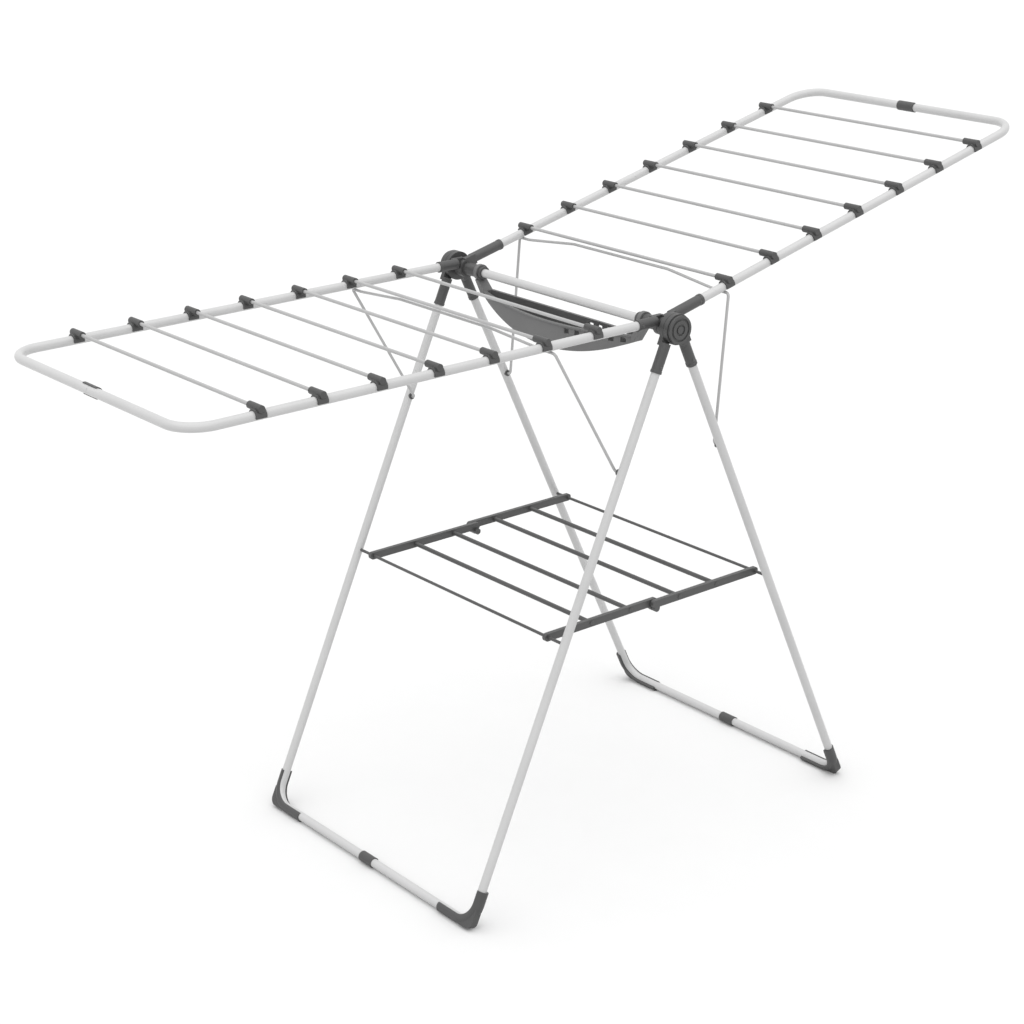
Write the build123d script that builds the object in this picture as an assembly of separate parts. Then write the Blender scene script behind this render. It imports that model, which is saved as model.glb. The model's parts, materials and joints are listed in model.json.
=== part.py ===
from build123d import *
import math
import os

# Folding clothes drying rack with two wings, two leg frames, a lower shelf and a small tray.
# Millimetres, +Z up, floor at z = 0. X runs along the wings, Y along the hub axis.

# Tubes and wires
TUBE_R = 8.0
TUBE_WALL = 1.0
ROD_R = 3.1
STRUT_R = 2.6
SHELF_ROD_R = 4.2
SHELF_WIRE_R = 2.8

# Overall places
HUB_Z = 992.0
RAIL_Y = 275.0
RAIL_LIFT = 10.0
LEG_LIFT = 9.0
RIGHT_WING_DEG = 13.6
WING_LENGTH = 948.0
WING_BEND = 54.0
FOOT_X = 459.0
FOOT_Z = 10.5
FOOT_BEND = 38.0

# Rods and clips on a wing
ROD_COUNT = 7
ROD_FIRST = 156.0
ROD_END_GAP = 126.9
CLIP_LENGTH = 19.0
CLIP_WRAP = 3.0
CLIP_R = TUBE_R + 3.2
CLIP_ARM_R = ROD_R + 3.0
CLIP_ARM = 11.0
CLIP_SKIN = 2.0

# Sleeves over the joints of the bars
SLEEVE_WALL = 1.8
END_SLEEVE = 41.0
END_WRAP = 2.0
FOOT_SLEEVE = 36.0

# Hub stack, counted outward along Y
PIN_R = 5.0
RUN_CLEAR = 0.06
LAYER_GAP = 1.0
SOCKET_R = TUBE_R + 1.6
HUB_SPACE = 7.8
SPACER_EASE = 0.5
SPACER_R = PIN_R + 4.0
SOCKET_SEAT = 8.0
LIP_R = SOCKET_R + 0.6
LIP = 5.0
WING_DISC_R = 17.0
LEG_DISC_R = 27.0
WING_SOCKET_END = {"left": 62.0, "right": 92.0}
LEG_SOCKET_END = 82.0
SOCKET_START = 1.8
CAP_R = 25.0
CAP_T = 5.0
CAP_SEAT = 2.0
GROOVE = 2.2
GROOVES = ((20.5, 16.5), (10.0, 6.5))
HUB_SLEEVE_R = 12.0
HUB_SLEEVE_IN = 214.0
CROSS_HALF = 236.0

# Struts that hold the wings up
STRUT_PIVOT = 262.0
STRUT_HOOK = 148.0
STRUT_GAP = 0.4
STRUT_SIDE = 9.0
STRUT_BOW = 14.0
STRUT_BEND = 6.0
STRUT_FLAT = 10.0
BUSH_R = 6.0
BUSH_T = 2.0
PIVOT_DEEP = 4.5

# Lower shelf
SHELF_PIVOT = 571.0
SHELF_LEFT_Y = 256.0
SHELF_RIGHT_Y = 266.0
BAR_W = 8.0
BAR_H = 14.0
BAR_LAP = 10.0
BAR_END = 8.0
BAR_ROUND = 6.4
PIN_END = 0.5
SHELF_PIN_R = 3.0
KNOB_T = 7.0
SHELF_RODS = (55.0, 147.0)
LUG_R = 6.5
LUG_DROP = 9.0
KNOB_R = 6.0

# Hanging tray, boat shaped
TRAY_HALF_L = 205.0
TRAY_MID_W = 33.0
TRAY_END_W = 8.0
TRAY_LOW = 903.0
TRAY_END_RISE = 46.0
TRAY_TOP = 952.0
TRAY_SHEER = 10.0
TRAY_WALL = 2.5
RIM_W = 3.0
RIM_T = 3.0
STRAP_DEEP = 12.0
STRAP_W = 8.0
STRAP_T = 5.0
STRAP_RING = 3.0
SLOT_PITCH = 26.0
SLOT_WIDE = 12.0
SLOT_COUNT = 6
SLOT_HIGH = 10.0
SLOT_FIRST = 13.0

# Foot covers
FOOT_COVER_R = TUBE_R + 3.0
FOOT_ARM = 62.0
FOOT_BAR_ARM = 86.0
COVER_WRAP = 3.0
BAR_WRAP = 6.5
COVER_SHIFT = 1.4
HEEL_T = 7.0
HEEL_BACK = 3.0
HEEL_ROUND = 15.0

# Worked out from the values above
LEG_Y = RAIL_Y + 2 * SOCKET_R + HUB_SPACE
RISE = math.radians(RIGHT_WING_DEG)
SLEEVE_R = TUBE_R + SLEEVE_WALL
LEFT_REACH = WING_LENGTH + TUBE_R
RIGHT_REACH = WING_LENGTH * math.cos(RISE) - RAIL_LIFT * math.sin(RISE) + TUBE_R
HUB_X = (LEFT_REACH - RIGHT_REACH) / 2
LEG_REACH = math.hypot(FOOT_X, HUB_Z - FOOT_Z)
LEG_LENGTH = math.sqrt(LEG_REACH ** 2 - LEG_LIFT ** 2)
LEG_DEG = math.degrees(math.atan2(FOOT_Z - HUB_Z, FOOT_X) - math.asin(LEG_LIFT / LEG_REACH))
ROD_LIFT = RAIL_LIFT + TUBE_R + ROD_R + 0.2
ROD_END = RAIL_Y + CLIP_R - CLIP_SKIN
WING_IN = (RAIL_Y - SOCKET_R, RAIL_Y - LAYER_GAP / 2)
WING_OUT = (RAIL_Y + LAYER_GAP / 2, RAIL_Y + SOCKET_R)
LEG_IN = (LEG_Y - SOCKET_R, LEG_Y - LAYER_GAP / 2)
LEG_OUT = (LEG_Y + LAYER_GAP / 2, LEG_Y + SOCKET_R)
ROD_PITCH = (WING_LENGTH - ROD_FIRST - ROD_END_GAP) / (ROD_COUNT - 1)
BEYOND = 2 * WING_LENGTH
HUB = Pos(HUB_X, 0, HUB_Z)


def right_side(shape, degrees):
    """Turns a frame built along +X to its angle on the right of the hub."""
    return HUB * Rot(0, -degrees, 0) * shape


def left_side(shape, degrees):
    """Turns a frame built along +X to its angle on the left of the hub."""
    return HUB * Rot(0, 0, 180) * Rot(0, -degrees, 0) * shape


def along_y(x, z, radius, y0, y1):
    """A round bar along Y."""
    return Pos(x, (y0 + y1) / 2, z) * Rot(90, 0, 0) * Cylinder(radius, abs(y1 - y0))


def along_x(x0, x1, y, z, radius):
    """A round bar along X."""
    return Pos((x0 + x1) / 2, y, z) * Rot(0, 90, 0) * Cylinder(radius, abs(x1 - x0))


def block(x0, x1, y0, y1, z0, z1):
    """A box between two corners."""
    centre = Pos((x0 + x1) / 2, (y0 + y1) / 2, (z0 + z1) / 2)
    return centre * Box(abs(x1 - x0), abs(y1 - y0), abs(z1 - z0))


def bent(points, bend, radius):
    """A round bar that follows the points, with rounded corners."""
    path = FilletPolyline(*points, radius=bend)
    start = Plane(origin=path @ 0, z_dir=path % 0)
    return sweep(start * Circle(radius), path=path)


def bent_tube(points, bend):
    """A hollow bent tube."""
    return bent(points, bend, TUBE_R) - bent(points, bend, TUBE_R - TUBE_WALL)


def ring_y(x, z, outer, inner, y0, y1):
    """A round sleeve along Y."""
    return along_y(x, z, outer, y0, y1) - along_y(x, z, inner, y0, y1)


def group(shapes):
    """Several equal pieces kept as one node."""
    return Compound(children=[s for shape in shapes for s in shape.solids()])


def save(name, shape):
    """Writes one piece."""
    export_step(shape, "parts/" + name + ".step")


def frame_half(side, half_width, length, lift, bend, start):
    """One half of a bent frame: side arm, corner, half of the end bar."""
    points = [
        (start, side * half_width, lift),
        (length, side * half_width, lift),
        (length, side * 0.25, lift),
    ]
    return bent_tube(points, bend)


def socket(side, half_width, lift, disc_r, layer, reach, bore):
    """A hinge disc on the hub axis with a sleeve that takes the tube."""
    y0 = side * layer[0]
    y1 = side * layer[1]
    first = disc_r + SOCKET_START
    body = along_y(0, 0, disc_r, y0, y1)
    body += block(0, first + SOCKET_SEAT - 2, y0, y1, lift - SOCKET_R, lift + SOCKET_R)
    body += along_x(first, reach, side * half_width, lift, SOCKET_R)
    body += along_x(reach - LIP, reach, side * half_width, lift, LIP_R)
    body -= along_x(first + SOCKET_SEAT, reach + SOCKET_SEAT, side * half_width, lift, TUBE_R)
    body -= along_y(0, 0, bore, y0 - side * PIN_R, y1 + side * PIN_R)
    return body


def clip(s, side):
    """A saddle over the rail that holds the end of one rod."""
    y = side * RAIL_Y
    inner = side * (RAIL_Y - CLIP_R)
    body = along_x(s - CLIP_LENGTH / 2, s + CLIP_LENGTH / 2, y, RAIL_LIFT, CLIP_R)
    low = RAIL_LIFT - CLIP_R
    wide = 2 * CLIP_R
    body -= block(s - CLIP_LENGTH, s + CLIP_LENGTH, y - wide, y + wide, low - wide, RAIL_LIFT - CLIP_WRAP)
    body += along_y(s, ROD_LIFT, CLIP_ARM_R, side * (RAIL_Y + CLIP_R), inner - side * CLIP_ARM)
    body -= along_x(s - CLIP_LENGTH, s + CLIP_LENGTH, y, RAIL_LIFT, TUBE_R)
    body -= along_y(s, ROD_LIFT, ROD_R, -ROD_END, ROD_END)
    return body


def wing_rods():
    """The places of the rods along a wing."""
    return [ROD_FIRST + ROD_PITCH * i for i in range(ROD_COUNT)]


def leg_half(side):
    """Half of a leg frame with the holes for the strut and the shelf wire."""
    start = LEG_DISC_R + SOCKET_START + SOCKET_SEAT
    tube = frame_half(side, LEG_Y, LEG_LENGTH, LEG_LIFT, FOOT_BEND, start)
    inside = side * (LEG_Y - 2 * TUBE_R)
    middle = side * LEG_Y
    tube -= along_y(STRUT_PIVOT, LEG_LIFT, STRUT_R + RUN_CLEAR, inside, middle)
    tube -= along_y(SHELF_PIVOT, LEG_LIFT, SHELF_WIRE_R + RUN_CLEAR, inside, middle)
    return tube


def corner_path(side, lift):
    """The run of a leg frame round one of its bottom corners."""
    return [
        (LEG_LENGTH - FOOT_ARM, side * LEG_Y, lift),
        (LEG_LENGTH, side * LEG_Y, lift),
        (LEG_LENGTH, side * (LEG_Y - FOOT_BAR_ARM), lift),
    ]


def cover_mouth(side, bar_wrap, low, high):
    """What a foot cover leaves open on the inner side of its corner, between two lifts."""
    inside = block(0, LEG_LENGTH - bar_wrap, -side * TUBE_R, side * (LEG_Y - COVER_WRAP), low, high)
    return fillet(inside.edges().filter_by(Axis.Z), FOOT_BEND - COVER_WRAP)


def foot(side, turn):
    """The cover on a bottom corner, thin outside and flat where it meets the floor."""
    body = bent(corner_path(side, LEG_LIFT - COVER_SHIFT), FOOT_BEND, FOOT_COVER_R)
    heel = block(
        LEG_LENGTH - FOOT_BEND, LEG_LENGTH + FOOT_COVER_R - HEEL_BACK, side * (LEG_Y - FOOT_BEND),
        side * (LEG_Y + FOOT_COVER_R - HEEL_BACK), LEG_LIFT - HEEL_T, LEG_LIFT + HEEL_T,
    )
    body += fillet(heel.edges().filter_by(Axis.Z), HEEL_ROUND)
    body -= cover_mouth(side, COVER_WRAP, -BEYOND, LEG_LIFT)
    body -= cover_mouth(side, BAR_WRAP, LEG_LIFT, BEYOND)
    body -= bent(corner_path(side, LEG_LIFT), FOOT_BEND, TUBE_R)
    body = turn(body, LEG_DEG) - block(-BEYOND, BEYOND, -BEYOND, BEYOND, -2 * FOOT_Z, 0)
    return body.solids().sort_by(SortBy.VOLUME)[-1]


def bush(side):
    """A small bearing ring on the inner side of a leg."""
    face = side * (LEG_Y - TUBE_R - BUSH_T)
    ring = along_y(STRUT_PIVOT, LEG_LIFT, BUSH_R, face, side * LEG_Y)
    ring -= along_x(STRUT_PIVOT - 2 * BUSH_R, STRUT_PIVOT + 2 * BUSH_R, side * LEG_Y, LEG_LIFT, TUBE_R)
    ring -= along_y(STRUT_PIVOT, LEG_LIFT, STRUT_R + RUN_CLEAR, face - side, side * LEG_Y)
    return ring


def turned(x, z, degrees):
    """Where a point of a frame built along +X lands, counted from the hub axis."""
    a = math.radians(degrees)
    return (x * math.cos(a) - z * math.sin(a), x * math.sin(a) + z * math.cos(a))


def strut(length):
    """The wire bail, pivot at the origin, reaching along +X."""
    side_y = LEG_Y - TUBE_R - STRUT_SIDE
    end_y = LEG_Y - TUBE_R + PIVOT_DEEP
    flat_y = RAIL_Y - TUBE_R - STRUT_FLAT
    points = [
        (0, -end_y, 0),
        (0, -side_y, 0),
        (length, -side_y, 0),
        (length, -flat_y, 0),
        (length + STRUT_BOW, -flat_y / 2, 0),
        (length + STRUT_BOW, flat_y / 2, 0),
        (length, flat_y, 0),
        (length, side_y, 0),
        (0, side_y, 0),
        (0, end_y, 0),
    ]
    return bent(points, STRUT_BEND, STRUT_R)


os.makedirs("parts", exist_ok=True)
SIDES = {"right": right_side, "left": left_side}
WING_DEG = {"right": RIGHT_WING_DEG, "left": 0.0}

# Leg frames and wings, the same pieces on both sides of the hub
for word, turn in SIDES.items():
    for side in (-1, 1):
        near = (side < 0) == (word == "right")
        place = "near" if near else "far"
        leg_layer = LEG_OUT if side < 0 else LEG_IN
        wing_layer = WING_OUT if side < 0 else WING_IN
        leg_bore = PIN_R if word == "left" else PIN_R + RUN_CLEAR
        save(word + "_leg_tube_" + place, turn(leg_half(side), LEG_DEG))
        save(word + "_foot_" + place, foot(side, turn))
        hinge = socket(side, LEG_Y, LEG_LIFT, LEG_DISC_R, leg_layer, LEG_SOCKET_END, leg_bore)
        save(word + "_leg_socket_" + place, turn(hinge, LEG_DEG))
        start = WING_DISC_R + SOCKET_START + SOCKET_SEAT
        rail = frame_half(side, RAIL_Y, WING_LENGTH, RAIL_LIFT, WING_BEND, start)
        save(word + "_rail_" + place, turn(rail, WING_DEG[word]))
        knuckle = socket(
            side, RAIL_Y, RAIL_LIFT, WING_DISC_R, wing_layer, WING_SOCKET_END[word], PIN_R + RUN_CLEAR
        )
        save(word + "_wing_socket_" + place, turn(knuckle, WING_DEG[word]))
    band = ring_y(LEG_LENGTH, LEG_LIFT, SLEEVE_R, TUBE_R, -FOOT_SLEEVE / 2, FOOT_SLEEVE / 2)
    save(word + "_foot_sleeve", turn(band, LEG_DEG))
    band = ring_y(WING_LENGTH, RAIL_LIFT, SLEEVE_R, TUBE_R, -END_SLEEVE / 2, END_SLEEVE / 2)
    outer = WING_LENGTH + END_WRAP
    band -= block(outer, BEYOND, -END_SLEEVE, END_SLEEVE, -BEYOND, BEYOND)
    save(word + "_end_sleeve", turn(band, WING_DEG[word]))
    for number, s in enumerate(wing_rods(), 1):
        rod = along_y(s, ROD_LIFT, ROD_R, -ROD_END, ROD_END)
        save(word + "_rod_" + str(number), turn(rod, WING_DEG[word]))
    clips = [turn(clip(s, side), WING_DEG[word]) for s in wing_rods() for side in (-1, 1)]
    save(word + "_clips", group(clips))
    save(word + "_strut_bushes", group([turn(bush(side), LEG_DEG) for side in (-1, 1)]))

# Struts: the same wire on both sides, hooked further out under the level wing
PIVOT_X, PIVOT_Z = turned(STRUT_PIVOT, LEG_LIFT, LEG_DEG)
UNDER = RAIL_LIFT - TUBE_R - STRUT_R - STRUT_GAP
HOOK_X, HOOK_Z = turned(STRUT_HOOK, UNDER, RIGHT_WING_DEG)
STRUT_LENGTH = math.hypot(HOOK_X - PIVOT_X, HOOK_Z - PIVOT_Z)
RIGHT_STRUT_DEG = math.degrees(math.atan2(HOOK_Z - PIVOT_Z, HOOK_X - PIVOT_X))
LEFT_STRUT_DEG = math.degrees(math.asin((UNDER - PIVOT_Z) / STRUT_LENGTH))
wire = strut(STRUT_LENGTH)
at_pivot = Pos(PIVOT_X, 0, PIVOT_Z)
save("right_strut", HUB * at_pivot * Rot(0, -RIGHT_STRUT_DEG, 0) * wire)
save("left_strut", HUB * Rot(0, 0, 180) * at_pivot * Rot(0, -LEFT_STRUT_DEG, 0) * wire)

# Hub: pins, caps, spacers and the tube that joins both ends
pins = []
caps = []
spacers = []
sleeves = []
for side in (-1, 1):
    tip = side * (LEG_OUT[1] + LAYER_GAP)
    pins.append(HUB * along_y(0, 0, PIN_R, side * CROSS_HALF, tip + side * CAP_SEAT))
    cap = along_y(0, 0, CAP_R, tip, tip + side * CAP_T)
    for outer, inner in GROOVES:
        cap -= ring_y(0, 0, outer, inner, tip + side * (CAP_T - GROOVE), tip + side * (CAP_T + GROOVE))
    cap -= along_y(0, 0, PIN_R, tip - side * GROOVE, tip + side * CAP_SEAT)
    caps.append(HUB * cap)
    gap0 = side * (WING_OUT[1] + SPACER_EASE)
    gap1 = side * (LEG_IN[0] - SPACER_EASE)
    spacers.append(HUB * ring_y(0, 0, SPACER_R, PIN_R, gap0, gap1))
    end = side * (WING_IN[0] - LAYER_GAP)
    body = along_y(0, 0, HUB_SLEEVE_R, side * HUB_SLEEVE_IN, end)
    body -= along_y(0, 0, TUBE_R, side * (HUB_SLEEVE_IN - 1), side * CROSS_HALF)
    body -= along_y(0, 0, PIN_R, side * (CROSS_HALF - 1), end + side)
    sleeves.append(HUB * body)
save("hub_pins", group(pins))
save("hub_caps", group(caps))
save("hub_spacers", group(spacers))
save("hub_sleeves", group(sleeves))
save("cross_tube", HUB * ring_y(0, 0, TUBE_R, TUBE_R - TUBE_WALL, -CROSS_HALF, CROSS_HALF))

# Tray: a boat-shaped open trough under the cross tube, with comb slots near the front end


def side_view(half_length, low, low_end, high, high_end, width):
    """The boat seen from the side, as a block of the given half width."""
    keel = ThreePointArc((0, -half_length, low_end), (0, 0, low), (0, half_length, low_end))
    back = Line((0, half_length, low_end), (0, half_length, high_end))
    sheer = ThreePointArc((0, half_length, high_end), (0, 0, high), (0, -half_length, high_end))
    front = Line((0, -half_length, high_end), (0, -half_length, low_end))
    return extrude(make_face([keel, back, sheer, front]), amount=width, dir=(1, 0, 0), both=True)


def top_view(half_length, middle, end):
    """The boat seen from above, as a tall block."""
    right = ThreePointArc((end, -half_length, 0), (middle, 0, 0), (end, half_length, 0))
    back = Line((end, half_length, 0), (-end, half_length, 0))
    left = ThreePointArc((-end, half_length, 0), (-middle, 0, 0), (-end, -half_length, 0))
    front = Line((-end, -half_length, 0), (end, -half_length, 0))
    return extrude(make_face([right, back, left, front]), amount=BEYOND, dir=(0, 0, 1), both=True)


wide = 2 * TRAY_MID_W
low_end = TRAY_LOW + TRAY_END_RISE
high_end = TRAY_TOP + TRAY_SHEER
hull = side_view(TRAY_HALF_L, TRAY_LOW, low_end, TRAY_TOP, high_end, wide)
hull = hull & top_view(TRAY_HALF_L, TRAY_MID_W, TRAY_END_W)
inner_l = TRAY_HALF_L - TRAY_WALL
hollow = side_view(inner_l, TRAY_LOW + TRAY_WALL, low_end + TRAY_WALL, HUB_Z, HUB_Z + TRAY_SHEER, wide)
hollow = hollow & top_view(inner_l, TRAY_MID_W - TRAY_WALL, TRAY_END_W - TRAY_WALL)
rim = side_view(TRAY_HALF_L, TRAY_TOP - RIM_T, high_end - RIM_T, TRAY_TOP, high_end, wide)
rim = rim & top_view(TRAY_HALF_L, TRAY_MID_W + RIM_W, TRAY_END_W + RIM_W)
tray = hull + rim - hollow
for i in range(SLOT_COUNT):
    y = SLOT_FIRST - TRAY_HALF_L + SLOT_PITCH * i
    top = TRAY_TOP + TRAY_SHEER * (y / TRAY_HALF_L) ** 2 - 2 * RIM_T
    tray -= block(-wide, wide, y, y + SLOT_WIDE, top - SLOT_HIGH, top)
save("tray", Pos(HUB_X, 0, 0) * tray)
hangers = []
for side in (-1, 1):
    y_ring = HUB_SLEEVE_IN + STRAP_W
    low = HUB_Z - HUB_SLEEVE_R - 1
    outline = [
        (TRAY_HALF_L, high_end - STRAP_DEEP),
        (TRAY_HALF_L, high_end),
        (y_ring, low),
        (y_ring + STRAP_W, low),
        (TRAY_HALF_L + STRAP_T, high_end - STRAP_DEEP),
    ]
    face = make_face(Polyline(*[(0, side * y, z) for y, z in outline], close=True))
    strap = extrude(face, amount=TRAY_END_W + RIM_W, dir=(1, 0, 0), both=True)
    strap += along_y(0, HUB_Z, HUB_SLEEVE_R + STRAP_RING, side * y_ring, side * (y_ring + STRAP_W))
    strap -= along_y(0, HUB_Z, HUB_SLEEVE_R, side * (y_ring - STRAP_W), side * (y_ring + 2 * STRAP_W))
    hangers.append(Pos(HUB_X, 0, 0) * strap)
save("tray_hangers", group(hangers))

# Shelf: two halves, each turning on its leg frame, lapped at the middle pins
SHELF_X, SHELF_Z = turned(SHELF_PIVOT, LEG_LIFT, LEG_DEG)
shelf_level = HUB_Z + SHELF_Z
for word, direction, bar_y in (("left", -1, SHELF_LEFT_Y), ("right", 1, SHELF_RIGHT_Y)):
    pivot_x = direction * SHELF_X
    rod_half = bar_y + BAR_W / 2 + 1.0
    wire_half = LEG_Y - TUBE_R + PIVOT_DEEP
    bars = []
    for side in (-1, 1):
        y0 = side * (bar_y - BAR_W / 2)
        y1 = side * (bar_y + BAR_W / 2)
        z0 = shelf_level - BAR_H / 2
        bar = block(pivot_x + direction * BAR_END, -direction * BAR_LAP, y0, y1, z0, z0 + BAR_H)
        bar = fillet(bar.edges().filter_by(Axis.Y), BAR_ROUND)
        bar += along_y(0, shelf_level - LUG_DROP, LUG_R, y0, y1)
        bar -= along_y(pivot_x, shelf_level, SHELF_WIRE_R, -BEYOND, BEYOND)
        for x in SHELF_RODS:
            bar -= along_y(direction * x, shelf_level, SHELF_ROD_R, -BEYOND, BEYOND)
        if word == "left":
            bar -= along_y(0, shelf_level - LUG_DROP, SHELF_PIN_R, -BEYOND, BEYOND)
        bars.append(Pos(HUB_X, 0, 0) * bar)
    save(word + "_shelf_bars", group(bars))
    rods = [along_y(direction * x, shelf_level, SHELF_ROD_R, -rod_half, rod_half) for x in SHELF_RODS]
    save(word + "_shelf_rods", group([Pos(HUB_X, 0, 0) * r for r in rods]))
    end_wire = along_y(pivot_x, shelf_level, SHELF_WIRE_R, -wire_half, wire_half)
    save(word + "_shelf_wire", Pos(HUB_X, 0, 0) * end_wire)
pins = []
for side in (-1, 1):
    y_in = SHELF_LEFT_Y - BAR_W / 2
    low = shelf_level - LUG_DROP
    pin = along_y(0, low, SHELF_PIN_R, side * y_in, side * (SHELF_LEFT_Y + BAR_W / 2 + PIN_END))
    pin += along_y(0, low, KNOB_R, side * (y_in - KNOB_T), side * y_in)
    pins.append(Pos(HUB_X, 0, 0) * pin)
save("shelf_pins", group(pins))
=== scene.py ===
import bpy
import json
import math
from mathutils import Matrix, Vector


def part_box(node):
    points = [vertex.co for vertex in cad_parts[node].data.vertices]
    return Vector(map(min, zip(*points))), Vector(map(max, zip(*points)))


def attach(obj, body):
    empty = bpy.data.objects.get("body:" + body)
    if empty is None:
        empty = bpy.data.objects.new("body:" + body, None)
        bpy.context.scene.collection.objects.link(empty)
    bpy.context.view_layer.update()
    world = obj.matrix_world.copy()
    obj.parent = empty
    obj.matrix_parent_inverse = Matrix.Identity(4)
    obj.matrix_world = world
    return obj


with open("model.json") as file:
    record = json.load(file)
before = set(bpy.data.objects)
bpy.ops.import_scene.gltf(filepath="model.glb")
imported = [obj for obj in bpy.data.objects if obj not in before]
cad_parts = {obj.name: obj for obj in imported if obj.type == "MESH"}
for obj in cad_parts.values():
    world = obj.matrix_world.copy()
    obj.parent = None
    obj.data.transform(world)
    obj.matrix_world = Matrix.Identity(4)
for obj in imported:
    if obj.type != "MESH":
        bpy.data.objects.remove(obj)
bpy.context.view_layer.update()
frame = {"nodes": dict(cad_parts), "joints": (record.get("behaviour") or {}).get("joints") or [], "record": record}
scene = bpy.context.scene

# Finishes: coated metal and moulded plastic, worked out in object space

DRIFT_SCALE = 9.0
DRIFT_DETAIL = 4.0
DRIFT_STOPS = (0.3, 0.7)
GRAIN_DETAIL = 3.0
GRAIN_DEPTH = 0.0004
GLOSS_SPREAD = 0.07
COAT_ROUGHNESS = 0.25
EDGE_ROUND = 0.0012
EDGE_SAMPLES = 4
EDGE_FLAT = 1.0
EDGE_SHARP = 0.8
EDGE_WEAR = 0.45
WORN_LIFT = 0.04
WORN_GAIN = 1.7
COATED = {"grain": 0.10, "grain_scale": 900}
SHELF = {"grain": 0.18, "grain_scale": 800, "edges": True}
STEEL = {"grain": 0.12, "grain_scale": 700}
MOULDED = {"grain": 0.3, "grain_scale": 1100, "edges": True}


def neutral(grey):
    """A colour with no hue, at most white."""
    return [min(1, grey)] * 3 + [1]


def node(tree, kind, **values):
    """A shader node with its input values set by name."""
    made = tree.nodes.new("ShaderNode" + kind)
    for name, value in values.items():
        made.inputs[name.replace("_", " ")].default_value = value
    return made


def worn_edges(tree, base, grey, bump):
    """Softens the sharp edges and rubs them a little paler; returns the new colour output."""
    soft = node(tree, "Bevel", Radius=EDGE_ROUND)
    soft.samples = EDGE_SAMPLES
    surface = node(tree, "NewGeometry")
    facing = node(tree, "VectorMath")
    facing.operation = "DOT_PRODUCT"
    tree.links.new(soft.outputs["Normal"], facing.inputs[0])
    tree.links.new(surface.outputs["Normal"], facing.inputs[1])
    worn = node(tree, "MapRange", From_Min=EDGE_FLAT, From_Max=EDGE_SHARP, To_Max=EDGE_WEAR)
    tree.links.new(facing.outputs["Value"], worn.inputs["Value"])
    rub = node(tree, "Mix")
    rub.data_type = "RGBA"
    plain, pale = [i for i in rub.inputs if i.type == "RGBA"]
    pale.default_value = neutral(WORN_LIFT + WORN_GAIN * grey)
    tree.links.new(worn.outputs["Result"], rub.inputs["Factor"])
    tree.links.new(base, plain)
    tree.links.new(soft.outputs["Normal"], bump.inputs["Normal"])
    return [o for o in rub.outputs if o.type == "RGBA"][0]


def finish(name, grey, roughness, drift, grain, grain_scale, coat=0.0, metallic=0.0, edges=False):
    """A procedural finish: slight colour drift, uneven gloss, fine grain and, where asked, worn edges."""
    mat = bpy.data.materials.new(name)
    mat.use_nodes = True
    tree = mat.node_tree
    shader = tree.nodes["Principled BSDF"]
    shader.inputs["Metallic"].default_value = metallic
    shader.inputs["Coat Weight"].default_value = coat
    shader.inputs["Coat Roughness"].default_value = COAT_ROUGHNESS
    place = node(tree, "TexCoord")
    broad = node(tree, "TexNoise", Scale=DRIFT_SCALE, Detail=DRIFT_DETAIL)
    fine = node(tree, "TexNoise", Scale=grain_scale, Detail=GRAIN_DETAIL)
    tree.links.new(place.outputs["Object"], broad.inputs["Vector"])
    tree.links.new(place.outputs["Object"], fine.inputs["Vector"])
    ramp = node(tree, "ValToRGB")
    for stop, position, share in zip(ramp.color_ramp.elements, DRIFT_STOPS, (1 - drift, 1 + drift)):
        stop.position = position
        stop.color = neutral(grey * share)
    tree.links.new(broad.outputs["Fac"], ramp.inputs["Fac"])
    bump = node(tree, "Bump", Strength=grain, Distance=GRAIN_DEPTH)
    base = ramp.outputs["Color"]
    if edges:
        base = worn_edges(tree, base, grey, bump)
    tree.links.new(base, shader.inputs["Base Color"])
    gloss = node(tree, "MapRange", To_Min=roughness - GLOSS_SPREAD, To_Max=roughness + GLOSS_SPREAD)
    tree.links.new(fine.outputs["Fac"], gloss.inputs["Value"])
    tree.links.new(gloss.outputs["Result"], shader.inputs["Roughness"])
    tree.links.new(fine.outputs["Fac"], bump.inputs["Height"])
    tree.links.new(bump.outputs["Normal"], shader.inputs["Normal"])
    return mat


FINISH = {
    "tube": finish("coat_tube", grey=0.45, roughness=0.36, drift=0.03, coat=0.25, **COATED),
    # Rods and strut wire have the tube's coat, given a darker grey than the tube as painted shade on these thin
    # parts.
    "rod": finish("coat_rod_painted_shade", grey=0.35, roughness=0.38, drift=0.04, coat=0.2, **COATED),
    "strut_wire": finish("coat_wire_painted_shade", grey=0.36, roughness=0.38, drift=0.05, coat=0.2, **COATED),
    "shelf_wire": finish("coat_shelf", grey=0.052, roughness=0.45, drift=0.08, coat=0.1, **SHELF),
    "pin": finish("steel_pin", grey=0.5, roughness=0.35, drift=0.05, metallic=1.0, **STEEL),
    "tray_plastic": finish("moulded_tray", grey=0.115, roughness=0.5, drift=0.06, **MOULDED),
    "dark_plastic": finish("moulded_dark", grey=0.051, roughness=0.46, drift=0.08, **MOULDED),
}
RIVET = finish("dark_rivet", grey=0.10, roughness=0.4, drift=0.05, metallic=0.6, **STEEL)
slots = {part["node"]: part["material_slot"] for part in frame["record"]["subparts"]}
for name, obj in frame["nodes"].items():
    obj.data.materials.clear()
    obj.data.materials.append(FINISH[slots[name]])


def placed(name, data):
    """A new object in the scene."""
    made = bpy.data.objects.new(name, data)
    scene.collection.objects.link(made)
    return made


# Small fasteners: domed rivets that hold the tubes in their sockets

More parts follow.
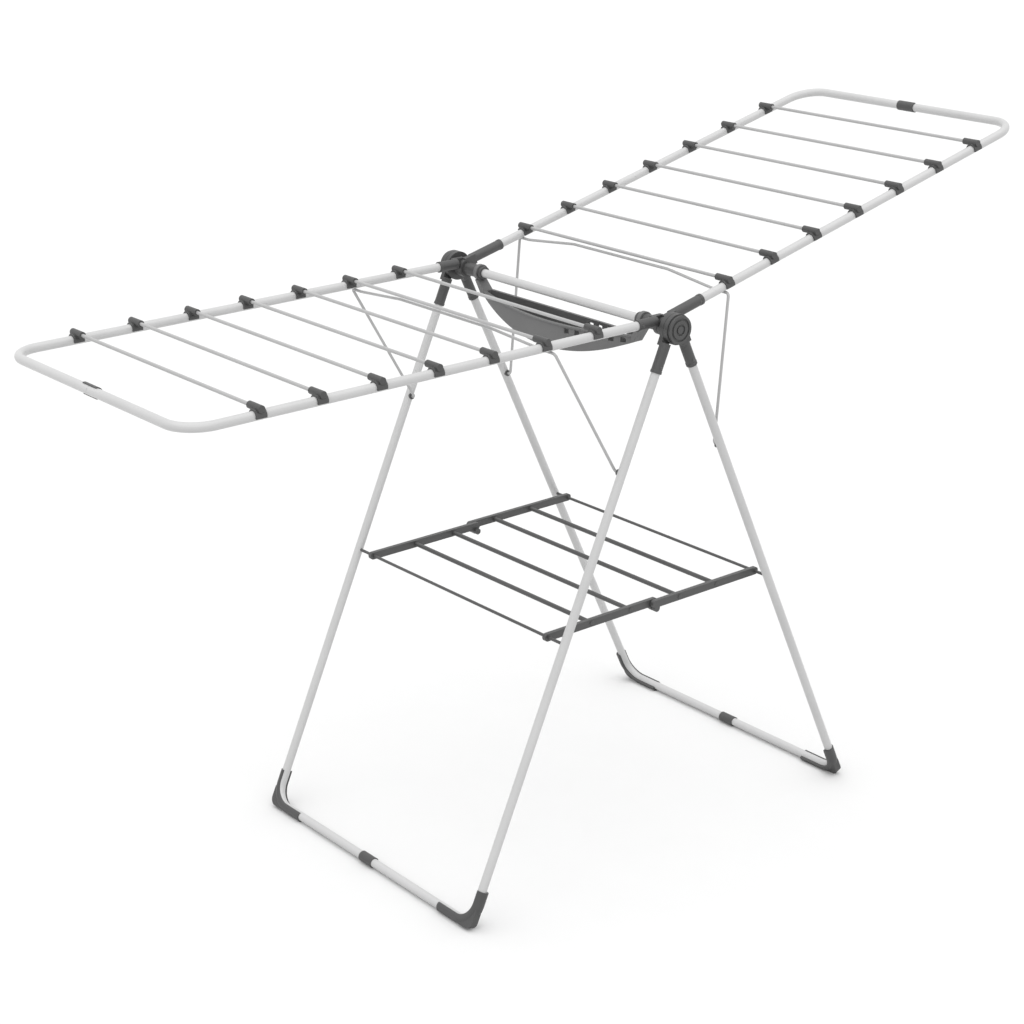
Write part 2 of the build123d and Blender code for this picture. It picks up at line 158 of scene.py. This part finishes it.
LEG_LIFT = 0.009
LEG_ALONG = 0.071
WING_LIFT = 0.010
WING_ALONG = {"left": 0.054, "right": 0.084}
RISE = math.radians(13.6)
SEAT_IN = 0.0007
LEG_RIVET = (0.0027, 0.0012)
WING_RIVET = (0.0024, 0.0011)
DOME = ((1.0, -0.5), (1.0, 0.25), (0.93, 0.55), (0.75, 0.82), (0.45, 0.96))
DOME_SIDES = 24
pivots = {joint["name"]: Vector(joint["pos_m"]) for joint in frame["joints"]}
HUB = pivots["leg_fold"]
to_strut = pivots["right_strut_swing"] - HUB
LEG_LINE = math.atan2(to_strut.z, to_strut.x) - math.asin(LEG_LIFT / to_strut.length)


def frame_point(side, angle, along, y, lift):
    """A point of a leg frame or wing, from its place along the frame, counted from the hub."""
    x = along * math.cos(angle) - lift * math.sin(angle)
    z = along * math.sin(angle) + lift * math.cos(angle)
    return HUB + Vector((side * x, side * y, z))


def seats(side, angle, along, lift, socket):
    """A frame's two rivet seats on its sockets' outer faces, each with its outward direction."""
    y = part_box(socket)[1].y - SEAT_IN
    return [
        (frame_point(side, angle, along, end * y, lift), Vector((0, side * end, 0)))
        for end in (-1, 1)
    ]


def rivets(name, body, places, size):
    """Domed heads in one mesh; each place is a seat point and an outward direction."""
    radius, height = size
    points = []
    faces = []
    for seat, out in places:
        across = out.orthogonal().normalized()
        beside = out.cross(across)
        base = len(points)
        for wide, high in DOME:
            for k in range(DOME_SIDES):
                a = 2 * math.pi * k / DOME_SIDES
                spoke = across * math.cos(a) + beside * math.sin(a)
                points.append(seat + spoke * wide * radius + out * high * height)
        crown = len(points)
        points.append(seat + out * height)
        points.append(seat + out * DOME[0][1] * height)
        last = base + (len(DOME) - 1) * DOME_SIDES
        for k in range(DOME_SIDES):
            turn = (k + 1) % DOME_SIDES
            for ring in range(base, last, DOME_SIDES):
                faces.append((ring + k, ring + turn, ring + turn + DOME_SIDES, ring + k + DOME_SIDES))
            faces.append((last + k, last + turn, crown))
            faces.append((base + turn, base + k, crown + 1))
    mesh = bpy.data.meshes.new(name)
    mesh.from_pydata(points, [], faces)
    mesh.polygons.foreach_set("use_smooth", [True] * len(faces))
    mesh.materials.append(RIVET)
    piece = placed(name, mesh)
    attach(piece, body)


for word, side, angle in (("left", -1, 0.0), ("right", 1, RISE)):
    places = seats(side, LEG_LINE, LEG_ALONG, LEG_LIFT, word + "_leg_socket_far")
    rivets(word + "_leg_rivets", word + "_leg", places, LEG_RIVET)
    places = seats(side, angle, WING_ALONG[word], WING_LIFT, word + "_wing_socket_far")
    rivets(word + "_wing_rivets", word + "_wing", places, WING_RIVET)

# Floor and light

FLOOR_HALF = 60.0
WORLD_STRENGTH = 1.0
LAMP_ANGLE = math.radians(100)
LAMP_ENERGY = 1.9
LAMP_AIM = Vector((0.18, 0.22, -1))

corners = [(-1, -1), (1, -1), (1, 1), (-1, 1)]
mesh = bpy.data.meshes.new("floor")
mesh.from_pydata([(FLOOR_HALF * x, FLOOR_HALF * y, 0) for x, y in corners], [], [(0, 1, 2, 3)])
mesh.materials.append(finish("floor", grey=0.66, roughness=0.8, drift=0.004, grain=0.02, grain_scale=40))
floor = placed("floor", mesh)

world = bpy.data.worlds.new("studio")
world.use_nodes = True
sky = world.node_tree.nodes["Background"]
sky.inputs["Color"].default_value = neutral(1)
sky.inputs["Strength"].default_value = WORLD_STRENGTH
scene.world = world

light = bpy.data.lights.new("overhead", "SUN")
light.angle = LAMP_ANGLE
light.energy = LAMP_ENERGY
lamp = placed("overhead", light)
lamp.rotation_euler = LAMP_AIM.to_track_quat("-Z", "Y").to_euler()

# Camera at the photograph's angle

PLACE = (-2.4878, -2.93826, 1.98933)
YAW = math.radians(-39.11)
PITCH = math.radians(-20.1)
ROLL = math.radians(-0.53)
FOCAL_PIXELS = 2206.94
IMAGE_PIXELS = 1024.0
SENSOR = 36.0
CLIP_END = 100.0

ahead = Vector((-math.sin(YAW) * math.cos(PITCH), math.cos(YAW) * math.cos(PITCH), math.sin(PITCH)))
level = Vector((math.cos(YAW), math.sin(YAW), 0))
above = level.cross(ahead)
right = math.cos(ROLL) * level + math.sin(ROLL) * above
up = math.cos(ROLL) * above - math.sin(ROLL) * level
lens = bpy.data.cameras.new("camera")
lens.sensor_width = SENSOR
lens.lens = FOCAL_PIXELS * SENSOR / IMAGE_PIXELS
lens.clip_end = CLIP_END
camera = placed("camera", lens)
camera.matrix_world = Matrix.Translation(PLACE) @ Matrix((right, up, -ahead)).transposed().to_4x4()
bpy.context.scene.camera = camera
scene.view_settings.view_transform = "Standard"
